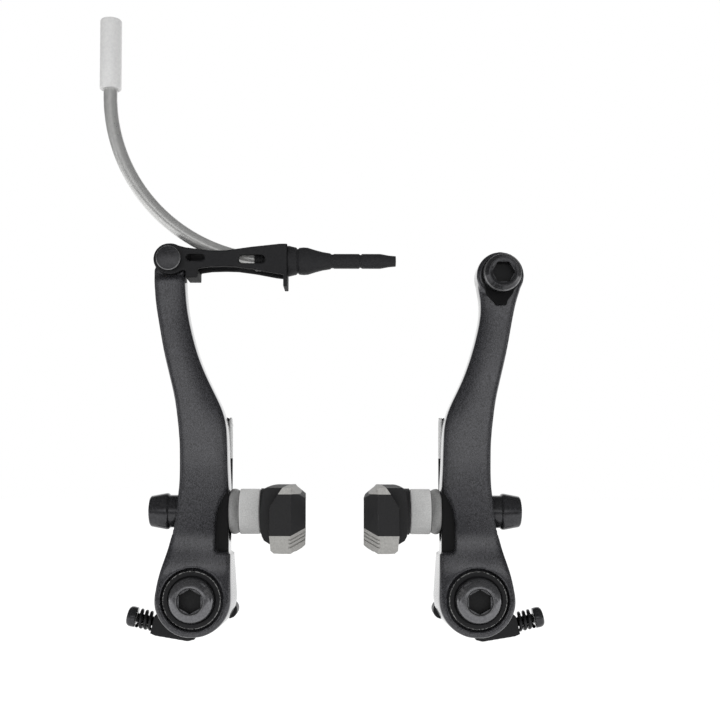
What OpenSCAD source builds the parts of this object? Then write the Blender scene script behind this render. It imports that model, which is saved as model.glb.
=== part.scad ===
// Linear-pull rim brake (v-brake): two arms on two frame bosses, millimetres.
// Origin midway between the boss axes, in the plane of the shoe studs.
// +X right, +Y away from the viewer, +Z up.

/* [Layout] */
// distance between the two boss axes
boss_spacing = 80; // [76:0.5:84]
// height of the shoe stud above the boss axis
stud_z = 24.5; // [22.5:0.5:26]
// how far a shoe slides down in its slot
shoe_travel = 5; // [3:0.5:6]
// distance from the centre plane to a friction face
face_x = 7.6; // [7:0.1:8.5]

/* [Arms] */
// radius of the round foot of an arm
foot_r = 10.4; // [10:0.1:11]
// half depth of the arm at the boss
foot_half = 7; // [7:0.1:7.6]
// half depth at the shoe slot
slot_half = 5.7; // [5.5:0.1:6]
// half depth near the top
top_half = 4; // [3.8:0.1:4.4]
// radius of the cable clamp bolt head
clamp_head_r = 5.3; // [5:0.1:5.5]
// how far the front face is crowned
crown = 0.9; // [0.3:0.1:1.1]
// edge rounding of the arms
edge_r = 1.2; // [0.8:0.1:1.4]
// height of the link pin above the boss axis
pin_z = 96.3; // [95:0.1:98]
// sideways place of the link pin, outward from the boss axis
pin_out = 7.4; // [7:0.1:7.8]
// radius of the link eye on the left arm
eye_r = 4.5; // [4.4:0.1:4.7]
// half depth of the link eye
eye_half = 3; // [2.8:0.1:3.1]
// height of the cable clamp boss on the right arm
anchor_z = 91.9; // [91:0.1:93]
// radius of the cable clamp boss
anchor_r = 6.75; // [6.5:0.05:7]

/* [Boss and bolt] */
// radius of the bore that turns on the frame boss
boss_bore_r = 4.06; // [4.06:0.01:4.1]
// outer radius of the pivot bush
bush_r = 5.5; // [5.3:0.05:5.8]
// running gap of the arm on its bush
run_gap = 0.05; // [0.03:0.01:0.08]
// radius of the dome bolt head
dome_r = 6.3; // [6:0.1:6.6]
// size of the key for the mounting bolts
key_flat = 6; // [5:0.5:6]
// radius of the mounting bolt thread
bolt_r = 2.9; // [2.9:0.01:2.92]
// radius of the black dust ring
ring_r = 8.15; // [8:0.05:8.3]
// depth of the plastic spring case behind the arm
case_depth = 6.9; // [6.9:0.1:7.5]
// radius of the spring case
case_r = 10.3; // [10.2:0.1:10.5]

/* [Springs] */
// radius of the return spring wire
wire_r = 0.8; // [0.7:0.05:0.9]
// mean radius of the return spring coil
coil_r = 7.6; // [7.5:0.05:7.65]
// outer radius of the small spring on the adjusting screw
trim_coil_r = 3.05; // [2.95:0.05:3.15]
// wire radius of that small spring
trim_wire = 0.5; // [0.4:0.05:0.55]
// radius of the adjusting screw head
trim_head_r = 3.05; // [2.8:0.05:3.2]

/* [Shoes] */
// length of a brake shoe
shoe_len = 70; // [66:1:74]
// height of a brake shoe
shoe_tall = 16.7; // [16.4:0.1:17]
// thickness of a brake shoe block
shoe_thick = 11.2; // [10.8:0.1:11.4]
// radius of the shoe stud
stud_r = 2.95; // [2.9:0.05:3]
// largest radius of the shoe nut
nut_r = 5.15; // [5:0.05:5.2]
// radius of the shaped washers
washer_r = 6.3; // [6:0.1:6.4]
// thickness of the domed washer
dome_t = 2.7; // [2.5:0.1:2.9]
// length of the long cupped washer
spacer_t = 6.2; // [6:0.1:6.4]

/* [Link and cable guide] */
// bend radius of the guide tube
bend_r = 48.3; // [46:0.1:49]
// outer radius of the guide tube
tube_r = 2; // [1.9:0.05:2.1]
// outer radius of the housing ferrule
ferrule_r = 3.1; // [3:0.05:3.3]
// length of the housing ferrule
ferrule_len = 20.4; // [19.5:0.1:21]
// radius of the socket for the cable housing
socket_r = 2.55; // [2.5:0.01:2.6]
// thickness of the folded link sheet
sheet = 1.5; // [1.4:0.05:1.6]
// length of the rubber boot
boot_len = 31.1; // [29:0.1:32]

/* [Hidden] */
$fn = 48;
e = 0.01;
half = boss_spacing / 2;
// depth planes, front to back
floor_y = -foot_half + 1.5;
bush_front = floor_y - 0.1;
ring_front = bush_front - 1.6;
case_y = foot_half + 0.1;
case_back = case_y + case_depth;
flange_t = 1.2;
bolt_end = 8;
// outline of an arm, height against outward and inward edge
outer_line = [[0, -foot_r], [7, -9.2], [12, -7.3], [18, -5.7], [26, -4.4], [34, -3.6],
    [45, -3.8], [56, -5.1], [70, -8.5], [84, -11], [92, -11.8], [99, -11.9]];
inner_line = [[0, foot_r], [25, 10.3], [36, 9.7], [48, 9.3], [51.5, 8.8], [55, 7.3], [61, 4.3],
    [66, 2.1], [70, 0.7], [75, -0.6], [80, -1.7], [85, -2.4], [92, -2.9], [99, -2.9]];
half_line = [[0, foot_half], [9, foot_half], [15, slot_half], [40, slot_half - 0.2],
    [60, 4.6], [80, top_half], [99, top_half]];
seat_u = 10;
slot_y = stud_r + 0.35;
// hollow beside the inner washers as [u, z]
scoop_line = [[15, 13.2], [6.9, 13.2], [6.2, 13.9], [6.2, 21.4], [6.5, 24], [7.3, 26.6], [8.5, 29], [10, 31], [15, 33]];
outer_seat_u = -1.2;
outer_r = 4.7;
dome_u = seat_u + dome_t;
back_u = dome_u + spacer_t;
block_back = half - face_x - shoe_thick;
sphere_r = 9;
// link numbers in the arm frame of the left side
pin_r = 2.5;
plate_in = eye_half + 0.25;
plate_out = plate_in + sheet;
pin_x = -half - pin_out;
axis_z = pin_z + 0.2;
end_x = -14.9;
// where the bend starts, its height, and the upright end above it
bend_x = end_x - 2.2;
bend_z = axis_z + bend_r;
tube_rise = 7.1;
housing_stop = 1;
ferrule_z = bend_z + 1.6;
hook_z = 49.5;
hook_u = 7.25;
leg_u = hook_u + 1 + wire_r + 0.05;
leg_line = [[0, coil_r], [9, coil_r + 0.35], [26, leg_u - 0.06], [60, leg_u]];
trim_y = case_y + 3.4;
trim_a = 13.4;

// helper shapes
function soft(z, line, d) = (lookup(z - d, line) + lookup(z - d / 2, line) + lookup(z, line)
    + lookup(z + d / 2, line) + lookup(z + d, line)) / 5;
function edge_in(z) = z < 0 ? sqrt(max(0.05, foot_r * foot_r - z * z)) : soft(z, inner_line, min(3, z));
function edge_out(z) = z < 0 ? -edge_in(z) : soft(z, outer_line, min(3, z));
function low(z) = min(edge_r, z + foot_r);
function depth(z) = soft(z, half_line, 3) - edge_r
    + sqrt(max(0, edge_r * edge_r - pow(edge_r - low(z), 2)));

// one cross section of an arm, as points around the arm at height z
function ring_pts(z, sd) = let (a = edge_out(z), b = edge_in(z), m = (a + b) / 2,
    w = (b - a) / 2, r = min(edge_r, w * 0.6), h = depth(z), c = crown * w / foot_r,
    q = w - r)
    [for (i = [0:8]) let (t = i / 4 - 1) [(m + q * t) * sd, -h + c * t * t, z],
     for (k = [-60, -30, 0]) [(m + q + r * cos(k)) * sd, -h + c + r + r * sin(k), z],
     for (k = [0, 30, 60, 90]) [(m + q + r * cos(k)) * sd, h - r + r * sin(k), z],
     for (i = [1:3]) [(m + q - q * i / 2) * sd, h, z],
     for (k = [90, 120, 150, 180]) [(m - q + r * cos(k)) * sd, h - r + r * sin(k), z],
     for (k = [180, 210, 240]) [(m - q + r * cos(k)) * sd, -h + c + r + r * sin(k), z]];

// skin a stack of closed rings, n rings of m points
module skin(rings, flip) {
  n = len(rings);
  m = len(rings[0]);
  pts = [for (s = rings) for (p = s) p];
  side = [for (j = [0:n - 2]) for (i = [0:m - 1]) let (k = (i + 1) % m)
      for (f = [[j * m + i, (j + 1) * m + i, j * m + k], [j * m + k, (j + 1) * m + i, (j + 1) * m + k]]) f];
  all = concat(side, [[for (i = [0:m - 1]) i]], [[for (i = [0:m - 1]) (n - 1) * m + m - 1 - i]]);
  polyhedron(points = pts, faces = flip ? [for (f = all) [for (i = [len(f) - 1:-1:0]) f[i]]] : all);
}

// round bar along Y, X or Z
module rod_y(r, y0, y1) {
  translate([0, y1, 0]) rotate([90, 0, 0]) cylinder(r = r, h = y1 - y0);
}
module rod_x(r, x0, x1) {
  translate([x0, 0, 0]) rotate([0, 90, 0]) cylinder(r = r, h = x1 - x0);
}
// slot along Z made of two round bars and a block, running along X
module slot_x(r, x0, x1, z0, z1) {
  translate([0, 0, z0]) rod_x(r, x0, x1);
  translate([0, 0, z1]) rod_x(r, x0, x1);
  translate([x0, -r, z0]) cube([x1 - x0, 2 * r, z1 - z0]);
}
// solid of revolution about Y, profile points are [radius, y]
module turned_y(p) {
  rotate([-90, 0, 0]) rotate_extrude() polygon(p);
}
// solid of revolution about X, profile points are [radius, x]
module turned_x(p, sd) {
  rotate([0, 90 * sd, 0]) rotate_extrude() polygon(p);
}
// regular six sided socket cut along Y from the front
module socket_y(flat, y0, y1) {
  translate([0, y1, 0]) rotate([90, 0, 0]) rotate([0, 0, 30]) cylinder(r = flat / sqrt(3), h = y1 - y0, $fn = 6);
}
// wire wound on a cylinder, as a swept skin
module coil(r, wr, pitch, turns, steps, sides, a0, flip) {
  n = round(turns * steps);
  skin([for (i = [0:n]) let (a = a0 + (flip ? -1 : 1) * 360 * i / steps)
      [for (k = [0:sides - 1]) let (b = 360 * k / sides)
          [(r + wr * cos(b)) * cos(a), (r + wr * cos(b)) * sin(a), pitch * i / steps + wr * sin(b)]]], !flip);
}
// place a local part at the left (1) or right (-1) boss
module at_boss(sd) {
  translate([-half * sd, 0, 0]) children();
}

/* arms */
module arm_body(sd, top) {
  zs = concat([for (k = [2:2:7]) -foot_r * cos(k * 4)], [for (k = [1:9]) -foot_r * cos(28 + k * 62 / 9)],
      [for (k = [1:40]) top * k / 40]);
  skin([for (z = zs) ring_pts(z, sd)], sd < 0);
}
module arm_cuts(sd) {
  rod_y(bush_r + run_gap, -foot_half - 2, foot_half + 2);
  rod_y(ring_r + 0.6, -foot_half - 2, floor_y);
  slot_x(slot_y, -14, 14, stud_z - shoe_travel, stud_z);
  // flat inner seat and the hollow beside it
  translate([sd > 0 ? seat_u : -14, -9, stud_z - shoe_travel - 6.9]) cube([14 - seat_u, 18, shoe_travel + 13.6]);
  for (f = [-1, 1]) translate([0, f > 0 ? 14 : -4.1, 0]) rotate([90, 0, 0]) linear_extrude(height = 9.9)
    polygon([for (p = scoop_line) [p[0] * sd, p[1]]]);
  // outer seat
  slot_x(outer_r + 0.25, sd > 0 ? -14 : -outer_seat_u, sd > 0 ? outer_seat_u : 14,
      stud_z - shoe_travel, stud_z);
  // hole for the spring hook
  translate([hook_u * sd, 0, hook_z]) rod_y(1.25, 0.9, 9);
}
module left_arm() color("#5b5c60") at_boss(1) difference() {
  union() {
    arm_body(1, pin_z - 1.5);
    translate([-pin_out, 0, pin_z]) turned_y([[0, -eye_half], [eye_r - 0.5, -eye_half], [eye_r, -eye_half + 0.5],
        [eye_r, eye_half - 0.5], [eye_r - 0.5, eye_half], [0, eye_half]]);
  }
  arm_cuts(1);
  for (f = [-1, 1]) translate([-20, f > 0 ? eye_half : -eye_half - 5, pin_z - eye_r - 0.9]) cube([30, 5, 12]);
  translate([-pin_out, 0, pin_z]) rod_y(pin_r + 0.65, -9, 9);
}
module right_arm() color("#5b5c60") at_boss(-1) difference() {
  union() {
    arm_body(-1, anchor_z - 2);
    translate([pin_out - 0.4, 0, anchor_z]) turned_y([[0, -top_half], [anchor_r - 0.8, -top_half],
        [anchor_r, -top_half + 0.8], [anchor_r, top_half - 0.8], [anchor_r - 0.8, top_half], [0, top_half]]);
  }
  arm_cuts(-1);
  translate([pin_out - 0.4, 0, anchor_z]) rod_y(3, -9, 9);
}

/* boss stack */
module bush(sd) color("#c9c9cc") at_boss(sd) difference() {
  union() {
    rod_y(bush_r, bush_front, case_back);
    rod_y(bush_r + 0.8, case_back - flange_t, case_back);
  }
  rod_y(boss_bore_r, bush_front - 1, case_back + 1);
}
module mount_bolt(sd) color("#2b2b2d") at_boss(sd) difference() {
  union() {
    rod_y(bolt_r, ring_front - e, bolt_end);
    turned_y([[0, ring_front], [dome_r, ring_front], [dome_r, ring_front - 1.2],
        for (a = [15:15:75]) [3.9 + (dome_r - 3.9) * cos(a), ring_front - 1.2 - 2.8 * sin(a)],
        [3.9, ring_front - 4], [0, ring_front - 4]]);
  }
  socket_y(key_flat, ring_front - 6, ring_front - 1.4);
  translate([0, ring_front - 4 - e, 0]) rotate([-90, 0, 0]) cylinder(r1 = 3.8, r2 = 3.2, h = 0.6);
}
module dust_ring(sd) color("#17171a") at_boss(sd) turned_y([[boss_bore_r + 0.2, bush_front],
    [ring_r, bush_front], [ring_r, ring_front + 0.3], [ring_r - 0.3, ring_front], [boss_bore_r + 0.2, ring_front]]);
module at_trim(sd) {
  translate([-13.3 * sd, trim_y, -8.4]) rotate([0, trim_a * sd, 0]) children();
}
// lug outline in the arm frame, its outer side square to the screw, as [u, z]
lug_line = [[-8, -3], [-12.79, -6.26], [-14.02, -11.42], [-12.5, -12.1], [-3, -13.7], [-1, -13.2], [0, -9]];
module spring_case(sd) color("#1d1d1f") at_boss(sd) difference() {
  union() {
    rod_y(case_r, case_y, case_back);
    translate([9.3 * sd, 0, -5.6]) rod_y(3.1, case_y, case_back);
    // lug for the adjusting screw
    translate([0, case_back, 0]) rotate([90, 0, 0]) linear_extrude(height = case_depth)
      polygon([for (p = lug_line) [p[0] * sd, p[1]]]);
  }
  rod_y(bush_r + 0.02, case_y - 1, case_back + 1);
  rod_y(bush_r + 0.82, case_back - flange_t, case_back + 1);
  // pocket for the coil
  difference() {
    rod_y(coil_r + 1.4, case_y - 1, case_y + 5.4);
    rod_y(coil_r - 1.2, case_y - 2, case_y + 6);
  }
  // way out for the spring leg over the whole swing of the arm
  translate([0, case_y + 3.3, 0]) rotate([90, 0, 0]) linear_extrude(height = 5)
    polygon([for (p = [[coil_r + 1.4, -1, -7], [coil_r + 1.4, 20, -7], [coil_r - 1.4, 20, 27], [coil_r - 1.4, 0, 27]])
        [(p[0] * cos(p[2]) - p[1] * sin(p[2])) * sd, p[0] * sin(p[2]) + p[1] * cos(p[2])]]);
  at_trim(sd) rod_x(1.55, sd > 0 ? -2 : -7, sd > 0 ? 7 : 2);
}
module adjust_screw(sd) color("#303033") at_boss(sd) at_trim(sd) difference() {
  union() {
    rod_x(1.5, sd > 0 ? -7 : -5.5, sd > 0 ? 5.5 : 7);
    turned_x([[0, -5.1], [trim_head_r, -5.1], [trim_head_r, -6.9], [trim_head_r - 0.3, -7.7],
        [trim_head_r - 1, -8.4], [1, -8.7], [0, -8.7]], sd);
  }
  translate([sd > 0 ? -9 : 7.6, -0.4, -4]) cube([1.4, 0.8, 8]);
}
module adjust_spring(sd) color("#b9b9bd") at_boss(sd) at_trim(sd) rotate([0, 90 * sd, 0])
  translate([0, 0, -4.5]) coil(trim_coil_r - trim_wire, trim_wire, 1.65, 2.35, 16, 8, sd > 0 ? 0 : 180, sd < 0);

/* springs and hooks */
// one swept wire: the long leg from its top down to the boss, then two turns about Y
function wire_ring(x, y, dx, dy, z) = [for (k = [0:7]) let (b = 45 * k)
    [x + wire_r * cos(b) * dx, z + wire_r * sin(b), y + wire_r * cos(b) * dy]];
module return_spring(sd) color("#8d8d92") at_boss(sd) {
  y0 = case_y + wire_r + 0.25;
  skin(concat([for (z = [hook_z + 2.5, 40, 26, 17, 9]) wire_ring(lookup(z, leg_line) * sd, z, sd, 0, y0)],
      [for (i = [0:46]) let (a = 7.5 * 2 * i) wire_ring(coil_r * cos(a) * sd, -coil_r * sin(a), cos(a) * sd, -sin(a),
          y0 + 1.7 * i / 24)]), sd < 0);
}
module spring_hook(sd) color("#9a9a9e") at_boss(sd) translate([hook_u * sd, 0, hook_z])
  turned_y([[0, 1], [1.2, 1], [1.2, case_y - 1.9], [1, case_y - 1.7], [1, case_y + 2.4], [2.4, case_y + 2.4],
      [2.4, case_y + 3.2], [0, case_y + 3.2]]);

/* link, guide tube and boot */
module link_pin() color("#2c2c2f") translate([pin_x, 0, pin_z]) turned_y([[0, -plate_out - 1.6], [3, -plate_out - 1.6],
    [3.5, -plate_out - 1.1], [3.5, -plate_out - 0.1], [pin_r, -plate_out - 0.1], [pin_r, plate_out + 0.1],
    [3.2, plate_out + 0.1], [3, plate_out + 1], [0, plate_out + 1]]);
module link_pin_bush() color("#b58b45") translate([pin_x, 0, pin_z]) difference() {
  rod_y(pin_r + 0.62, -eye_half - 0.15, eye_half + 0.15);
  rod_y(pin_r + 0.04, -9, 9);
}
// outline of a side plate, [x, z]
plate_line = [[pin_x, axis_z + 4.5], [-45.3, axis_z + 3.9], [-42.7, axis_z + 3.1], [-39.5, axis_z + 2.7],
    [-35.8, axis_z + 2.2], [-31, axis_z + 2.3], [-24, axis_z + 3.3], [-15.7, axis_z + 4.2], [end_x, axis_z + 4.2],
    [end_x, axis_z - 4.5], [-17.3, axis_z - 4.2], [-23.2, axis_z - 3.1], [-28.4, axis_z - 2.4], [-32, axis_z - 2.3],
    [-36.2, axis_z - 2.45], [-41.3, axis_z - 3.2], [-43.8, axis_z - 3.6], [pin_x, axis_z - 4.9]];
module link_cradle() color("#45464a") difference() {
  union() {
    for (y = [-plate_out, plate_in]) translate([0, y + sheet, 0]) rotate([90, 0, 0]) {
      linear_extrude(height = sheet) polygon(plate_line);
      translate([pin_x, pin_z, 0]) cylinder(r = 4.75, h = sheet);
    }
    translate([end_x - e, -plate_out, axis_z - 8]) cube([sheet - 0.4 + e, 2 * plate_out, 12.2]);
    // stop tab that leans on the arm
    translate([edge_in(axis_z - 5) - half + 0.15, -plate_out, axis_z - 6.1]) cube([3.4, 2 * plate_out, 3]);
  }
  translate([pin_x, 0, pin_z]) rod_y(pin_r + 0.06, -9, 9);
  // long opening and sight window in both plates
  for (x = [-41.6, -38.2]) translate([x, 0, axis_z + 0.2]) rod_y(1, -9, 9);
  translate([-41.6, -9, axis_z - 0.8]) cube([3.4, 18, 2]);
  for (x = [-26.4, -21.2]) translate([x, 0, axis_z - 0.2]) rod_y(1.2, -9, 9);
  translate([-26.4, -9, axis_z - 1.4]) cube([5.2, 18, 2.4]);
  // keyhole for the nose, open at the top
  translate([0, 0, axis_z]) rod_x(2.3, end_x - 1, end_x + 4);
  translate([end_x - 1, -1.35, axis_z]) cube([5, 2.7, 6]);
}
module arc_tube(ro, ri) {
  translate([bend_x, 0, bend_z]) rotate([90, 0, 0]) rotate([0, 0, 180]) rotate_extrude(angle = 90, $fn = 96)
    translate([bend_r, 0]) difference() {
      circle(r = ro, $fn = 32);
      circle(r = ri, $fn = 32);
    }
}
module noodle_tube() color("#c4c5c8") union() {
  arc_tube(tube_r, 1.3);
  translate([bend_x - bend_r, 0, bend_z]) difference() {
    cylinder(r = tube_r, h = tube_rise);
    translate([0, 0, -1]) cylinder(r = 1.3, h = tube_rise + 2);
  }
}
module noodle_liner() color("#e8e8e4") union() {
  arc_tube(1.24, 0.85);
  translate([0, 0, axis_z]) difference() {
    rod_x(1.24, bend_x, end_x + boot_len - 2);
    rod_x(0.85, bend_x - 1, end_x + boot_len);
  }
  translate([bend_x - bend_r, 0, bend_z]) difference() {
    cylinder(r = 1.24, h = tube_rise);
    translate([0, 0, -1]) cylinder(r = 0.85, h = tube_rise + 2);
  }
}
module noodle_ferrule() color("#c9cacd") translate([bend_x - bend_r, 0, 0]) rotate_extrude()
  polygon([[tube_r + 0.02, ferrule_z], [ferrule_r - 0.4, ferrule_z], [ferrule_r, ferrule_z + 0.4],
      [ferrule_r, ferrule_z + ferrule_len - 0.4], [ferrule_r - 0.4, ferrule_z + ferrule_len],
      [socket_r, ferrule_z + ferrule_len], [socket_r, bend_z + tube_rise + housing_stop], [1.1, bend_z + tube_rise + housing_stop],
      [1.1, bend_z + tube_rise], [tube_r + 0.02, bend_z + tube_rise]]);
module noodle_nose() color("#29292b") translate([0, 0, axis_z]) turned_x([[tube_r + 0.16, bend_x - 2.6],
    [2.9, bend_x - 2.6], [3, bend_x - 2], [3, end_x - 0.3], [2.4, end_x - e], [2.2, end_x - e], [2.2, end_x + 2.4],
    [1.5, end_x + 5], [1.3, end_x + 5], [1.3, bend_x + e], [tube_r + 0.16, bend_x + e]], 1);
module boot() color("#1b1b1c") translate([end_x + sheet - 0.4, 0, axis_z]) rotate([0, 90, 0]) rotate_extrude()
  polygon([[2.25, 0], [4.4, 0], [4.4, 0.4], [4.1, 1.6], [3.9, 2.5], [3.5, 2.75], [3.5, 3], [3.85, 3.35],
      [3.95, 4.6], [3.85, 5.8], [3.2, 7.9], [2.65, 10], [2.3, 12.2], [1.97, 12.6], [1.97, 13], [2.12, 13.4],
      [2.12, 20.5], [1.84, 20.75], [1.84, 21.05], [2.12, 21.4], [2.12, 26.6], [1.65, boot_len - 1.9],
      [1.6, boot_len - 1.3], [1.5, boot_len], [1.26, boot_len], [1.26, 5.6], [1.6, 4.2], [2.25, 1.8]]);

/* cable clamp */
module anchor_bolt() color("#222225") translate([half + pin_out - 0.4, 0, anchor_z]) difference() {
  union() {
    rod_y(2.95, -top_half - 1.5, top_half + 1.2);
    turned_y([[0, -top_half - 1.5], [clamp_head_r, -top_half - 1.5], [clamp_head_r, -top_half - 4.4],
        [clamp_head_r - 0.4, -top_half - 5.2], [4, -top_half - 6.1], [0, -top_half - 6.1]]);
  }
  socket_y(5, -top_half - 8, -top_half - 3);
  translate([0, -top_half - 6.1 - e, 0]) rotate([-90, 0, 0]) cylinder(r1 = 3.6, r2 = 2.9, h = 0.5);
}
module anchor_washer() color("#1e1e20") translate([half + pin_out - 0.4, 0, anchor_z]) difference() {
  union() {
    rod_y(5.65, -top_half - 1.5, -top_half);
    rotate([90, 0, 0]) translate([0, 0, top_half]) linear_extrude(height = 1.5)
      polygon([[-5, -2], [-4.3, -5.6], [-1.9, -8.2], [-1.6, -9], [1.5, -9], [1.8, -7.6], [3.2, -5.6], [4.6, -2]]);
  }
  rod_y(3, -20, 20);
}

/* washers and shoes */
// bowl of a sphere of radius sphere_r as [radius, x] points, from rim to bore
function bowl_x(u, r) = u + sqrt(sphere_r * sphere_r - r * r) - sqrt(sphere_r * sphere_r - washer_r * washer_r);
function bowl(u) = [for (k = [0:5]) let (r = washer_r + (stud_r + 0.4 - washer_r) * k / 5) [r, bowl_x(u, r)]];
module dome_washer(sd) color("#b4b5b8") at_boss(sd) translate([0, 0, stud_z])
  turned_x(concat([[stud_r + 0.4, seat_u], [washer_r - 0.3, seat_u], [washer_r, seat_u + 0.3]], bowl(dome_u - 0.02)), sd);
module thick_washer(sd) color("#b4b5b8") at_boss(sd) translate([0, 0, stud_z])
  turned_x(concat([[stud_r + 0.05, back_u], [washer_r - 0.4, back_u], [washer_r, back_u - 0.4]],
      bowl(dome_u), [[stud_r + 0.05, bowl_x(dome_u, stud_r + 0.4) + 0.1]]), sd);
module outer_cup(sd) color("#8e8e92") at_boss(sd) translate([0, 0, stud_z])
  turned_x([[stud_r + 0.35, outer_seat_u], [outer_r, outer_seat_u], [outer_r, outer_seat_u - 1.9],
      [stud_r + 0.35, outer_seat_u - 1.2]], sd);
module outer_dome(sd) color("#8e8e92") at_boss(sd) translate([0, 0, stud_z])
  turned_x([[stud_r + 0.1, outer_seat_u - 1.13], [stud_r + 0.35, outer_seat_u - 1.2],
      [outer_r, outer_seat_u - 1.9], [outer_r, outer_seat_u - 3.8], [stud_r + 0.1, outer_seat_u - 3.8]], sd);
module shoe_nut(sd) color("#1f1f21") at_boss(sd) translate([0, 0, stud_z])
  turned_x([[stud_r + 0.02, outer_seat_u - 3.8], [4.65, outer_seat_u - 3.8], [4.65, outer_seat_u - 5.7],
      [4.9, outer_seat_u - 5.85], [nut_r, outer_seat_u - 6.1], [nut_r, outer_seat_u - 6.6], [4.1, outer_seat_u - 11.9],
      [3.7, outer_seat_u - 12.3], [stud_r + 0.02, outer_seat_u - 12.3]], sd);
module shoe_stud(sd) color("#a9a9ad") at_boss(sd) translate([0, 0, stud_z]) difference() {
  union() {
    rod_x(stud_r, sd > 0 ? outer_seat_u - 11.8 : -back_u - 1.5, sd > 0 ? back_u + 1.5 : 11.8 - outer_seat_u);
    rod_x(5.2, sd > 0 ? back_u : -back_u - 1.5, sd > 0 ? back_u + 1.5 : -back_u);
  }
  translate([sd > 0 ? outer_seat_u - 11.8 : 8.8 - outer_seat_u, 0, 0]) rotate([0, 90, 0])
    cylinder(r = 1.7, h = 3, $fn = 6);
}
// block section in the arm frame at a place y along the shoe, as [u, z]
shoe_lift = 0.4;
chamfer_len = 7.3;
chamfer_in = 3.5;
function drop(y) = -y * y / 1000;
function taper(y) = let (d = shoe_len / 2 - abs(y)) d < chamfer_len ? (chamfer_len - d) * chamfer_in / chamfer_len : 0;
function block_pts(y, sd) = let (z0 = stud_z + shoe_lift + drop(y), h = shoe_tall / 2, f = half - face_x - taper(y),
    b = block_back, low_z = z0 - h + 1.7 * (1 - taper(y) / chamfer_in))
    [for (p = [[b, z0 - 4.2], [b, z0 + 3.2], [b + 0.4, z0 + h - 1.3], [b + 1.1, z0 + h], [f - 3.2 + taper(y), z0 + h],
        [f - 2.7 + taper(y) * 0.8, z0 + h - 0.6], [f, z0 + h - 2.8 + taper(y) * 0.6], [f, low_z],
        [f - 0.9, low_z - 0.8 * (1 - taper(y) / chamfer_in)], [f - 2.4, z0 - h], [b + 3.4, z0 - h + 0.1],
        [b + 2.6, z0 - h + 0.8], [b + 2.5, z0 - h + 2.1], [b + 0.7, z0 - h + 3.1]]) [p[0] * sd, y, p[1]]];
// places of the sections along the shoe, closer at the end chamfers
ys = [for (k = [-1, 1]) for (d = k < 0 ? [0, 2.4, 4.9, chamfer_len, 13, 20, 27] : [35, 27, 20, 13, chamfer_len, 4.9, 2.4, 0])
    k * (shoe_len / 2 - min(d, shoe_len / 2))];
module shoe_block(sd) color("#2b2b2c") at_boss(sd) difference() {
  union() {
    skin([for (y = ys) block_pts(y, sd)], sd < 0);
    translate([0, 0, stud_z]) rod_x(6.6, sd > 0 ? back_u : -block_back - 1, sd > 0 ? block_back + 1 : -back_u);
  }
  translate([0, 0, stud_z]) rod_x(5.22, sd > 0 ? back_u - 1 : -back_u - 1.52, sd > 0 ? back_u + 1.52 : 1 - back_u);
  // water grooves across the friction face
  for (y = [-20, 0, 20]) translate([(half - face_x - 1.5) * sd, y, stud_z]) rotate([12, 0, 0])
    translate([sd > 0 ? 0 : -4, -0.9, -12]) cube([4, 1.8, 24]);
}

module left_pivot_bush() bush(1);
module right_pivot_bush() bush(-1);
module left_mount_bolt() mount_bolt(1);
module right_mount_bolt() mount_bolt(-1);
module left_dust_ring() dust_ring(1);
module right_dust_ring() dust_ring(-1);
module left_spring_case() spring_case(1);
module right_spring_case() spring_case(-1);
module left_adjust_spring() adjust_spring(1);
module right_adjust_spring() adjust_spring(-1);
module left_adjust_screw() adjust_screw(1);
module right_adjust_screw() adjust_screw(-1);
module left_return_spring() return_spring(1);
module right_return_spring() return_spring(-1);
module left_spring_hook() spring_hook(1);
module right_spring_hook() spring_hook(-1);
module left_dome_washer() dome_washer(1);
module right_dome_washer() dome_washer(-1);
module left_thick_washer() thick_washer(1);
module right_thick_washer() thick_washer(-1);
module left_outer_cup() outer_cup(1);
module right_outer_cup() outer_cup(-1);
module left_outer_dome() outer_dome(1);
module right_outer_dome() outer_dome(-1);
module left_shoe_block() shoe_block(1);
module right_shoe_block() shoe_block(-1);
module left_shoe_stud() shoe_stud(1);
module right_shoe_stud() shoe_stud(-1);
module left_shoe_nut() shoe_nut(1);
module right_shoe_nut() shoe_nut(-1);

left_pivot_bush();
left_mount_bolt();
left_dust_ring();
left_spring_case();
left_adjust_spring();
left_adjust_screw();
right_pivot_bush();
right_mount_bolt();
right_dust_ring();
right_spring_case();
right_adjust_spring();
right_adjust_screw();
left_arm();
left_return_spring();
left_spring_hook();
link_pin();
link_pin_bush();
right_arm();
right_return_spring();
right_spring_hook();
anchor_bolt();
anchor_washer();
link_cradle();
noodle_tube();
noodle_ferrule();
noodle_nose();
noodle_liner();
boot();
left_dome_washer();
left_thick_washer();
left_outer_cup();
left_outer_dome();
left_shoe_block();
left_shoe_stud();
left_shoe_nut();
right_dome_washer();
right_thick_washer();
right_outer_cup();
right_outer_dome();
right_shoe_block();
right_shoe_stud();
right_shoe_nut();
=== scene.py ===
"""Looks of a linear-pull rim brake: arms, shoes, washers, link, guide tube, bolts and springs."""
import math

import bmesh
import bpy
from bpy.props import FloatProperty, FloatVectorProperty, PointerProperty
from bpy.types import Operator, Panel, PropertyGroup
from mathutils import Matrix, Vector


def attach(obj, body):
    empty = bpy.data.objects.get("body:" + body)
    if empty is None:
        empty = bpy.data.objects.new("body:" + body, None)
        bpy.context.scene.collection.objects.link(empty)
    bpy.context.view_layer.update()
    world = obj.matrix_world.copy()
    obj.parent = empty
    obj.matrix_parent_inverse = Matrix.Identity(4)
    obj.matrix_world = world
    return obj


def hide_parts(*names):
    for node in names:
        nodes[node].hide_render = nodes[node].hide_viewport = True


bl_info = {
    "name": "Rim brake looks",
    "version": (1, 0, 0),
    "blender": (4, 5, 0),
    "location": "View3D > Sidebar > Brake",
    "description": "Dresses the packed rim brake and sets it on a plain stage",
    "category": "Object",
}

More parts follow.
